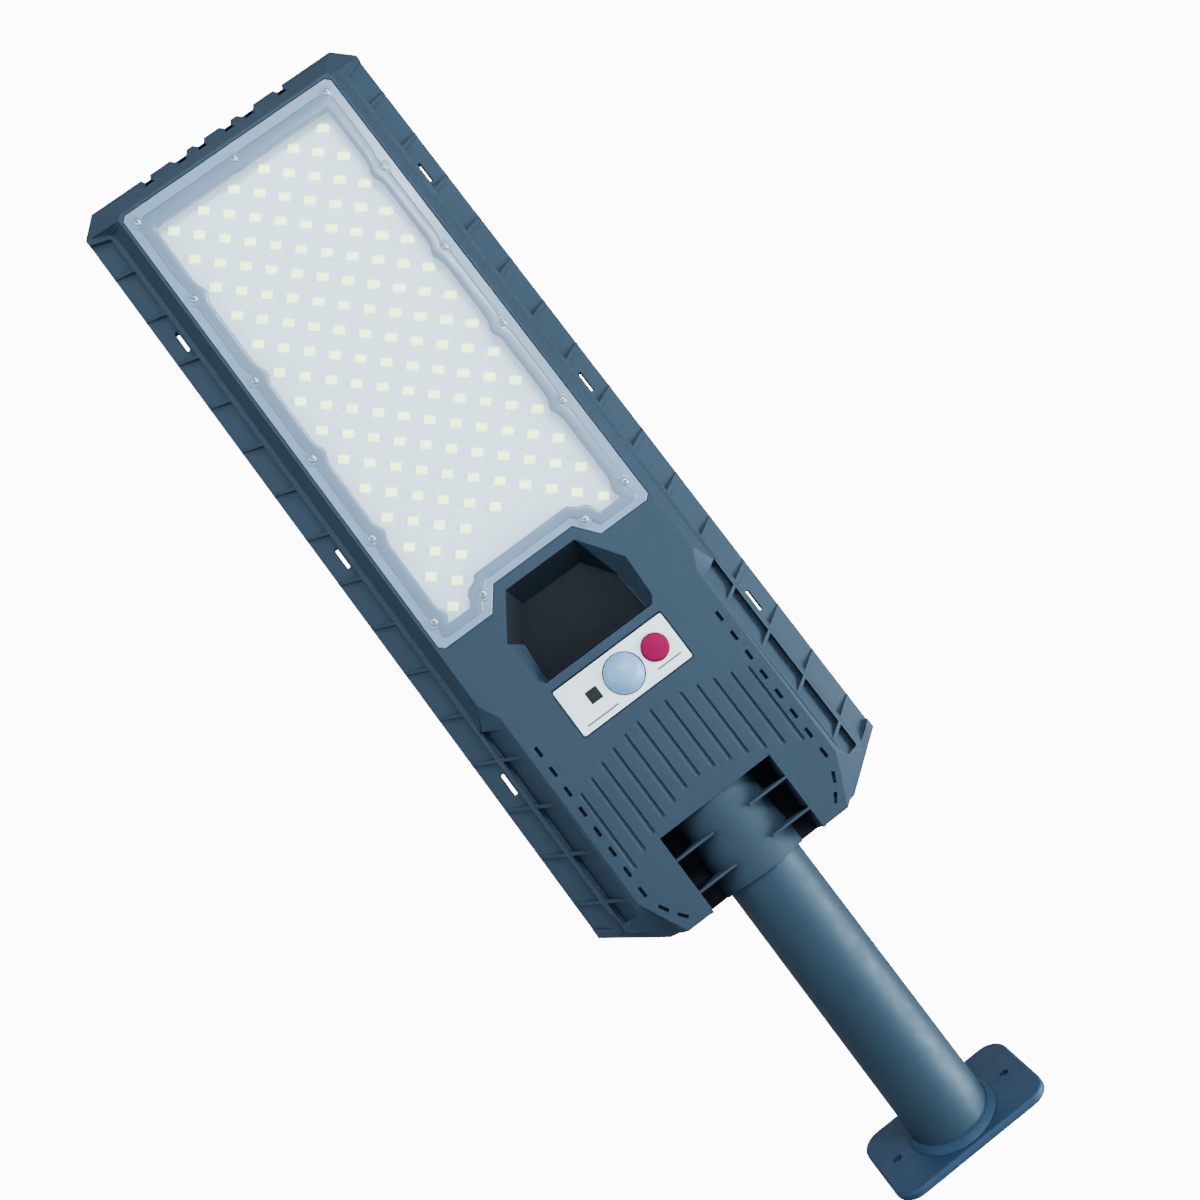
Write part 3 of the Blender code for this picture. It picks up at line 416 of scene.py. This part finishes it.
def refined(node, name, mat, body, bevel=0.0, segments=2, sharp=35, shape=None):
    """A CAD node again as a piece, with its edges rounded after shape(bmesh) has run on it."""
    mesh = bpy.data.meshes.new(name)
    bm = bmesh.new()
    bm.from_mesh(NODES[node].data)
    bmesh.ops.remove_doubles(bm, verts=bm.verts, dist=2e-6)
    if shape:
        shape(bm)
    bm.to_mesh(mesh)
    bm.free()
    if "custom_normal" in mesh.attributes:  # the loaded normals no longer fit the joined corners
        mesh.attributes.remove(mesh.attributes["custom_normal"])
    mesh.materials.clear()
    mesh.materials.append(mat)
    return finish_piece(name, mesh, body, [node], sharp, bevel, segments)


# ---- bracket ----
def plate_distance(x, z):
    """y in the head's frame where a line along the arm through (x, z) meets the wall plate's front face."""
    start, step = (HEAD @ (Vector((x, y, z)) * MM) for y in (0.0, 1.0))
    return (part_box("wall_plate")[0][1] - start.y) / (step.y - start.y)


def build_bracket():
    refined("wall_plate", "wall_plate_rounded", PLATE_PAINT, "bracket", 0.6)
    refined("arm_tube", "arm_tube_smooth", ARM_PAINT, "bracket", sharp=50)
    build_weld()


def build_weld():
    """A fillet laid in overlapping ripples round the slanted joint of tube and plate."""
    low, high = span("arm_tube")
    radius = (high.x - low.x) / 2
    steps, ripples, waver, clearance = 336, 56, 0.02, 0.3
    # (distance out from the tube, distance up from the plate)
    section = ((clearance, clearance), (3.8, clearance), (3.5, 1.0), (2.7, 2.0), (1.8, 2.9), (0.9, 3.6),
               (clearance, 3.9))
    rings = []
    for k in range(steps):
        a = 2 * pi * k / steps
        phase = (k * ripples / steps) % 1.0
        swell = 1.0 + waver * (phase - 0.5) + waver * sin(5 * a)
        ring = []
        for out, up in section:
            r = radius + out * (swell if out > clearance else 1.0)
            x, z = r * cos(a), r * sin(a)
            ring.append((x, plate_distance(x, z) + up * (swell if up > clearance else 1.0), z))
        rings.append(ring)
    piece("weld_ripples", [loft(rings, closed=True)], PLATE_PAINT, "bracket", ["weld_bead"],
          sharp=50)


# ---- housing ----
def paint_recess_shade(shell):
    """Painted shade: darker, duller plastic deep in the well and in the cells beside the sleeve, where shade
    falls.
    """
    shell.data.materials.append(SLATE_PAINTED_SHADE)
    face = span("front_frame")[1].z
    well_low, well_high, well_half = span("label_plate")[1].y, span("lens_cover")[0].y + 16.0, 33.0
    cells_end = centre("clamp_bolt_2").y + 20.0
    cells_in, cells_out = span("arm_tube")[1].x + 5.0, 36.0
    for polygon in shell.data.polygons:
        corners = [shell.data.vertices[v].co for v in polygon.vertices]
        x, y, z = in_head(sum(corners, Vector()) / len(corners))
        in_well = well_low < y < well_high and abs(x) < well_half and z < face - 1.0
        in_cells = y < cells_end and cells_in < abs(x) < cells_out and z < face - 3.0
        # faces deep in the well or in the cells take the painted shade
        if in_well or in_cells:
            polygon.material_index = 1


def fade_ribs(bm):
    """Run the ledge's ribs down to its outer edge, so that the housing's outline stays smooth."""
    low, high = span("front_frame")
    tail_clear, far_clear, rim_z, fall = 40.0, 25.0, 8.0, 3.0
    for vert in bm.verts:
        x, y, z = in_head(vert.co)
        on_ribs = low.y + tail_clear < y < high.y - far_clear
        if on_ribs and abs(x) > high.x - 0.5 and abs(z - rim_z) < 0.5:
            vert.co -= OUT * fall * MM


def close_seam(bm):
    """Raise the back shell's edge to the front frame, so that no light shows along the seam."""
    edge, seam = span("back_shell")[1].z, span("front_frame")[0].z
    for vert in bm.verts:
        if in_head(vert.co).z > edge - 0.05:
            vert.co += OUT * (seam - edge + 0.02) * MM


def build_housing():
    front = refined("front_frame", "front_frame_moulding", SLATE, "head", 0.25,
                    shape=fade_ribs)
    paint_recess_shade(front)
    refined("back_shell", "back_shell_moulding", SLATE_BACK, "head", 0.5,
            shape=close_seam)


# ---- LED compartment ----
def rounded_rect(length, width, r, steps=3):
    """Outline round the origin, with steps segments in each corner."""
    out = []
    for cx, cy, start in ((length / 2 - r, width / 2 - r, 0), (r - length / 2, width / 2 - r, 90),
                          (r - length / 2, r - width / 2, 180), (length / 2 - r, r - width / 2, 270)):
        angles = [radians(start + 90 * k / steps) for k in range(steps + 1)]
        out += [(cx + r * cos(a), cy + r * sin(a)) for a in angles]
    return out


def build_led_chips():
    """Chips in staggered rows of six and five, without the ones that the well takes the place of."""
    low, high = span("led_array")
    top = high.z
    cad_chip_l, cross_track = 6.2, 4.5        # they end the CAD node across and along
    half_pitch_x, half_pitch_y = (high.x - low.x - cad_chip_l) / 10, 10.95
    first_row, rows = high.y - cross_track, 27
    left_out = {24: 1, 25: 2, 26: 3}          # row: half pitches kept clear on each side of the middle
    chip_l, chip_w, lean, slack = 6.9, 5.3, -37, 0.15
    rim, pad = rounded_rect(chip_l, chip_w, 0.5, 2), rounded_rect(chip_l - 1.1, chip_w - 1.1, 1.0)
    contact = rounded_rect(chip_l + 1.4, chip_w - 1.6, 0.3, 1)
    shells = []
    for row in range(rows):
        y = first_row - row * half_pitch_y
        for k in (range(-5, 6, 2) if row % 2 == 0 else range(-4, 5, 2)):
            if abs(k) <= left_out.get(row, -1):
                continue
            tilt = radians(lean + random.uniform(-1.6, 1.6))
            x = k * half_pitch_x + random.uniform(-slack, slack)
            at = Matrix.Translation((x, y, 0)) @ Matrix.Rotation(tilt, 4, 'Z')
            shells.append((*turn(slab(contact, (top - 0.95, 0), (top - 0.84, 0.05)), at), 2))
            shells.append((*turn(slab(rim, (top - 0.9, 0.2), (top - 0.7, 0), (top - 0.3, 0.1)), at), 0))
            shells.append((*turn(slab(pad, (top - 0.4, 0), (top - 0.18, 0.05), (top, 0.6)), at), 1))
    piece("led_chips", shells, [CHIP_BODY_PAINTED_GLOW, PHOSPHOR_PAINTED_GLOW, PAD], "head", ["led_array"])


def stretch(half, counts):
    """Closed outline through a half outline and its mirror image, each segment cut into equal steps."""
    points = []
    for (x0, y0), (x1, y1), n in zip(half, half[1:], counts):
        points += [(x0 + (x1 - x0) * k / n, y0 + (y1 - y0) * k / n) for k in range(n)]
    mirror = [(-x, y) for x, y in points[:0:-1]]
    return points + [half[-1]] + mirror


def cover_rings():
    """The cover's outer edge, and the window's edge with its swellings round the screws."""
    low, high = span("lens_cover")
    half, tail, far = high.x, low.y, high.y
    outer = [(0, tail + 13.8), (28.6, tail + 13.8), (39.6, tail), (half - 3, tail), (half, tail + 3),
             (half, far - 3), (half - 3, far), (0, far)]
    w, t, f = half - 13.0, tail + 10.5, far - 17.2
    inner = [(0, t + 14.5), (33, t + 14.5), (47, t), (w - 1.5, t), (w, t + 1.5), (w, f - 1.5), (w - 1.5, f),
             (0, f)]
    counts = (10, 6, 8, 2, 110, 2, 24)
    outer, inner = stretch(outer, counts), stretch(inner, counts)
    screws = [centre(n) for n in NODES if n.startswith("lens_screw_")]
    swell, flat_square, fade = 2.8, 40.0, 20.0  # height, then squares of distances, all in millimetres
    swollen = []
    for i, (x, y) in enumerate(inner):
        before, after = Vector(inner[i - 1]), Vector(inner[(i + 1) % len(inner)])
        along = (after - before).normalized()
        push = 0.0
        for screw in screws:
            gap = (Vector((x, y)) - screw.xy).length
            push = max(push, swell * exp(-max(gap * gap - flat_square, 0.0) / fade))
        swollen.append((x - along.y * push, y + along.x * push))
    return outer, swollen


def build_cover():
    """Frosted border that steps up to the window, the clear pane, and a seat under each screw."""
    outer, inner = cover_rings()
    foot = span("lens_cover")[0].z
    # (share of the way from the outer edge to the window, height)
    profile = ((0.0, 0.0), (0.0, 1.55), (0.03, 1.9), (0.40, 2.0), (0.45, 2.55), (0.50, 2.8), (0.88, 2.95),
               (0.96, 2.8), (1.0, 2.45), (1.0, 1.0), (0.9, 0.2))
    step_height = 2.05
    rings = [[(ox + (ix - ox) * t, oy + (iy - oy) * t, foot + z) for (ox, oy), (ix, iy) in zip(outer, inner)]
             for t, z in profile]
    border = piece("cover_border_moulding", [loft(rings, closed=True)], [BORDER, BORDER_IN], "head",
                   ["lens_cover"], sharp=28)
    for polygon in border.data.polygons:
        corners = [border.data.vertices[v].co for v in polygon.vertices]
        height = in_head(sum(corners, Vector()) / len(corners)).z - foot
        polygon.material_index = 1 if height > step_height else 0
    piece("cover_pane", [slab(inner, (foot + 1.1, 0), (foot + 2.3, 0))], WINDOW, "head")
    seat = [(4.3, foot + 1.2), (4.3, foot + 2.35), (3.9, foot + 2.6), (3.2, foot + 2.6)]
    places = [centre(name) for name in NODES if name.startswith("lens_screw_")]
    seats = [turned(seat, mid.x, mid.y, 24) for mid in places]
    piece("cover_screw_seats", seats, BORDER, "head", sharp=40)


def build_screws():
    """Pan heads on the lens cover's rim, with a black cross as painted shade for the cross recess."""
    names = sorted(n for n in NODES if n.startswith("lens_screw_"))
    shells = []
    for name in names:
        mid, low, high = centre(name), *span(name)
        shells += pan_head(mid, high.z - 1.5, high.z, 2.5, low.z, random.uniform(0, pi))
    piece("lens_screws_pan_head", shells, [ZINC, BLACK_PLASTIC_AND_PAINTED_SHADE], "head", names, sharp=40)


def pan_head(mid, foot, top, r, tip, angle, up=1):
    """A screw's shank and rounded head along z, with a black cross on the head as painted shade where the
    cross recess would be; up is -1 on the back.
    """
    rise, shank_r, bar_half = top - foot, 1.2, 0.22
    dome = [(shank_r, tip), (shank_r, foot), (r, foot), (r, foot + 0.3 * rise),
            (r * 0.94, foot + 0.55 * rise), (r * 0.8, foot + 0.8 * rise), (r * 0.55, foot + 0.95 * rise),
            (0.2, top)]
    bar = [(-r * 0.55, -bar_half), (r * 0.55, -bar_half), (r * 0.55, bar_half), (-r * 0.55, bar_half)]
    # the black cross bars are painted shade standing in for the recess
    cross = []
    for quarter in (0, pi / 2):
        at = Matrix.Translation((mid.x, mid.y, 0)) @ Matrix.Rotation(angle + quarter, 4, 'Z')
        cross.append((*turn(slab(bar, (top - up * 0.5, 0), (top + up * 0.02, 0)), at), 1))
    return [turned(dome, mid.x, mid.y, 24)] + cross


# ---- sensor and switch ----
def build_label():
    """White plate with two plain bars where a real one has print."""
    refined("label_plate", "label_plate_rounded", LABEL, "head", 0.25)
    low, high = span("label_plate")
    bar_width = 1.1
    marks = []
    for x0, x1, y in ((low.x + 5, low.x + 27, low.y + 3.2), (high.x - 21, high.x - 4, low.y + 5.2)):
        bar = [(x0, y), (x1, y), (x1, y + bar_width), (x0, y + bar_width)]
        marks.append(slab(bar, (high.z - 0.1, 0), (high.z + 0.04, 0)))
    piece("label_hairlines", marks, PRINT, "head")


def build_dome():
    """Motion sensor's lens: facets sunk a little into a milky cap, above a plain flange."""
    low, high = span("pir_dome")
    mid, r = (low + high) / 2, (high.x - low.x) / 2
    flange, apex = high.z - 8.0, high.z
    rows, sides, apex_r = 7, 22, 0.6
    rings = []
    for k in range(rows + 1):
        a = radians(90 * k / rows)
        radius = max(r * cos(a), apex_r)
        angles = [2 * pi * (j + 0.5 * (k % 2)) / sides for j in range(sides)]
        z = flange + (apex - flange) * sin(a) - 0.05
        rings.append([(mid.x + radius * cos(b), mid.y + radius * sin(b), z) for b in angles])
    foot = [(x, y, low.z) for x, y, z in rings[0]]
    dome = piece("pir_dome_facets", [loft([foot] + rings)], DOME, "head", ["pir_dome"],
                 sharp=4)
    bm = bmesh.new()
    bm.from_mesh(dome.data)
    facets = [f for f in bm.faces if in_head(f.calc_center_median()).z > flange + 0.2]
    bmesh.ops.inset_individual(bm, faces=facets, thickness=0.12 * MM, depth=-0.035 * MM)
    bm.to_mesh(dome.data)
    bm.free()


def build_button():
    """Low crowned cap with a rounded edge, on a stem."""
    low, high = span("button_cap")
    mid, r, top = (low + high) / 2, (high.x - low.x) / 2, high.z
    stem_r, round_r = 2.0, 0.9
    crown = [(stem_r, low.z), (stem_r, top - 9.1), (r, top - 9.1), (r, top - 1.5)]
    crown += [(r - round_r + round_r * cos(radians(a)), top - 1.5 + round_r * sin(radians(a)))
              for a in (20, 45, 70, 90)]
    crown += [(r - 1.6, top - 0.55), (r - 3.5, top - 0.2), (r - 6, top - 0.03), (0.3, top)]
    piece("button_cap_domed", [turned(crown, mid.x, mid.y, 56)], CRIMSON, "button", ["button_cap"],
          sharp=50)


def build_spring():
    """The button's return spring, the fixed point it squashes towards, and the share of its length kept."""
    spring = refined("button_spring", "button_spring_coil", STEEL, "head", sharp=70)
    low, high = span("button_spring")
    fixed = HEAD @ (Vector(((low.x + high.x) / 2, (low.y + high.y) / 2, low.z)) * MM)
    travel = joint_range("button_push")[1] / MM
    return spring, fixed, 1.0 - travel / (high.z - low.z)


def build_sensor_group():
    build_label()
    build_dome()
    refined("ir_window", "ir_window_bevelled", SMOKED, "head", 0.4, 3)
    build_button()
    return build_spring()


# ---- back: panel, screws and clamp ----
def strip(x0, x1, y0, y1, z0, z1):
    return slab([(x0, y0), (x1, y0), (x1, y1), (x0, y1)], (z0, 0), (z1, 0))


def cell_ribbons():
    """Ribbons over each string's cells, and the fine printed fingers between them."""
    low, high = span("solar_cells")
    width, ribbon_half, finger_half = (high.x - low.x) / 2, 0.6, 0.07
    strings, ribbons_each, fingers = 2, 4, 216
    out = []
    for column in range(strings):
        for k in range(ribbons_each):
            x = low.x + width * column + width * (k + 0.5) / ribbons_each
            out.append(strip(x - ribbon_half, x + ribbon_half, low.y + 4, high.y - 1,
                             low.z - 0.12, low.z + 0.05))
    for k in range(fingers):
        y = low.y + 4 + (high.y - low.y - 6) * k / fingers
        for column in range(strings):
            x = low.x + width * column + 2
            out.append(strip(x, x + width - 4, y - finger_half, y + finger_half,
                             low.z - 0.05, low.z + 0.02))
    return out


def build_back():
    refined("solar_glass", "solar_glass_pane", GLASS, "head", 0.3)
    piece("cell_ribbons", cell_ribbons(), BUSBAR, "head")
    names = sorted(n for n in NODES if n.startswith("shell_screw_"))
    shells = []
    for name in names:
        mid, low, high = centre(name), *span(name)
        shells += pan_head(mid, low.z + 2.0, low.z, 2.9, high.z, random.uniform(0, pi), up=-1)
    piece("shell_screws_pan_head", shells, [ZINC, BLACK_PLASTIC_AND_PAINTED_SHADE], "head", names, sharp=40)
    for k in (1, 2):
        refined(f"clamp_bolt_{k}", f"clamp_bolt_{k}_hex", STEEL, "head", 0.35)


def finish_nodes():
    """Node materials on the CAD nodes that stay as they are."""
    plain = {
        GREEN: ("control_board", "protection_board"),
        RUBBER: ("lens_gasket", "panel_sealant"),
        BLACK_PLASTIC_AND_PAINTED_SHADE: ("switch_body", "solar_terminal_box", "battery_holder", "battery_strap", "ir_receiver"),
        STEEL: ("clamp_nut_1", "clamp_nut_2", "pir_sensor"),
        WRAP: tuple(n for n in NODES if n.startswith("battery_cell_")),
        RED_LEAD: ("solar_wire_red", "battery_wire_red"),
        BLACK_LEAD: ("solar_wire_black", "battery_wire_black"),
        GREY_LEAD: ("led_lead",),
        SHEET: ("solar_backsheet",),
        CELL: ("solar_cells",),
        BOARD_PAINTED_GLOW: ("led_board",),
    }
    for mat, names in plain.items():
        for name in names:
            for material_slot in NODES[name].material_slots:
                material_slot.material = mat


# ---- camera, light and floor ----
# the camera's place, view and upright direction, in the head's frame
EYE = Vector((-55.8, 111.6, 825.3))
LOOK = Vector((0.0889, 0.0890, -0.9921))
UP = Vector((0.5945, 0.7944, 0.1245))


def set_camera():
    data = bpy.data.cameras.new("camera")
    data.sensor_width = 36.0
    data.lens = 41.4
    cam = bpy.data.objects.new("camera", data)
    bpy.context.scene.collection.objects.link(cam)
    turn_head = HEAD.to_3x3()
    back = -(turn_head @ LOOK).normalized()
    right = (turn_head @ UP).cross(back).normalized()
    axes = Matrix((right, back.cross(right), back)).transposed()
    cam.matrix_world = Matrix.Translation(HEAD @ (EYE * MM)) @ axes.to_4x4()
    bpy.context.scene.camera = cam
    return cam


def area(name, towards, away, size, power, colour=(1, 1, 1)):
    """Square area light, away from the point towards, facing it."""
    data = bpy.data.lights.new(name, 'AREA')
    data.size = size
    data.energy = power
    data.color = colour
    lamp = bpy.data.objects.new(name, data)
    bpy.context.scene.collection.objects.link(lamp)
    lamp.location = towards + away
    lamp.rotation_euler = away.to_track_quat('Z', 'Y').to_euler()


def set_light(cam):
    low, high = (Vector(c) for c in CAD_BOX)
    middle = (low + high) / 2
    right, up, back = (cam.matrix_world.to_3x3().col[k] for k in range(3))
    area("key", middle, up * 0.9 + right * 0.2 + back * 1.5, 0.9, 178.0, (0.97, 0.99, 1.0))
    area("rim", middle - up * 0.25, right * 1.5 + up * 0.45 + back * 0.35, 1.0, 62.0, (0.92, 0.97, 1.0))
    area("fill", middle, right * -1.2 - up * 0.1 + back * 1.2, 1.6, 33.0, (0.85, 0.92, 1.0))
    area("top", middle, Vector((0.2, -0.3, 1.8)), 1.6, 10.0)
    set_world()


def set_world():
    """Soft sky that lights the lamp, with a plain bright white where the camera sees past it."""
    world = bpy.data.worlds.new("studio")
    bpy.context.scene.world = world
    world.use_nodes = True
    tree = world.node_tree
    background = tree.nodes["Background"]
    background.inputs["Color"].default_value = (0.80, 0.88, 1.0, 1)
    background.inputs["Strength"].default_value = 0.38
    seen = tree.nodes.new("ShaderNodeBackground")
    seen.inputs["Color"].default_value = (1, 1, 1, 1)
    seen.inputs["Strength"].default_value = 12.0
    mix = tree.nodes.new("ShaderNodeMixShader")
    path = tree.nodes.new("ShaderNodeLightPath")
    tree.links.new(path.outputs["Is Camera Ray"], mix.inputs[0])
    tree.links.new(background.outputs[0], mix.inputs[1])
    tree.links.new(seen.outputs[0], mix.inputs[2])
    tree.links.new(mix.outputs[0], tree.nodes["World Output"].inputs["Surface"])


def set_floor():
    """Pale floor well below the lamp, which hangs on a wall."""
    mesh = bpy.data.meshes.new("floor")
    drop, half = 1.1, 12.0
    z = CAD_BOX[0][2] - drop
    corners = [(-half, -half, z), (half, -half, z), (half, half, z), (-half, half, z)]
    mesh.from_pydata(corners, [], [(0, 1, 2, 3)])
    floor = bpy.data.objects.new("floor", mesh)
    bpy.context.scene.collection.objects.link(floor)
    shade = Shade("floor", (0.85, 0.86, 0.88), 0.7)
    shade.tint(shade.noise(2.0, 3.0), 0.02)
    mesh.materials.append(shade.mat)


camera = set_camera()
set_light(camera)
set_floor()
build_bracket()
build_housing()
build_led_chips()
build_cover()
build_screws()
coil, coil_foot, coil_keep = build_sensor_group()
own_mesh(coil)
build_back()
finish_nodes()
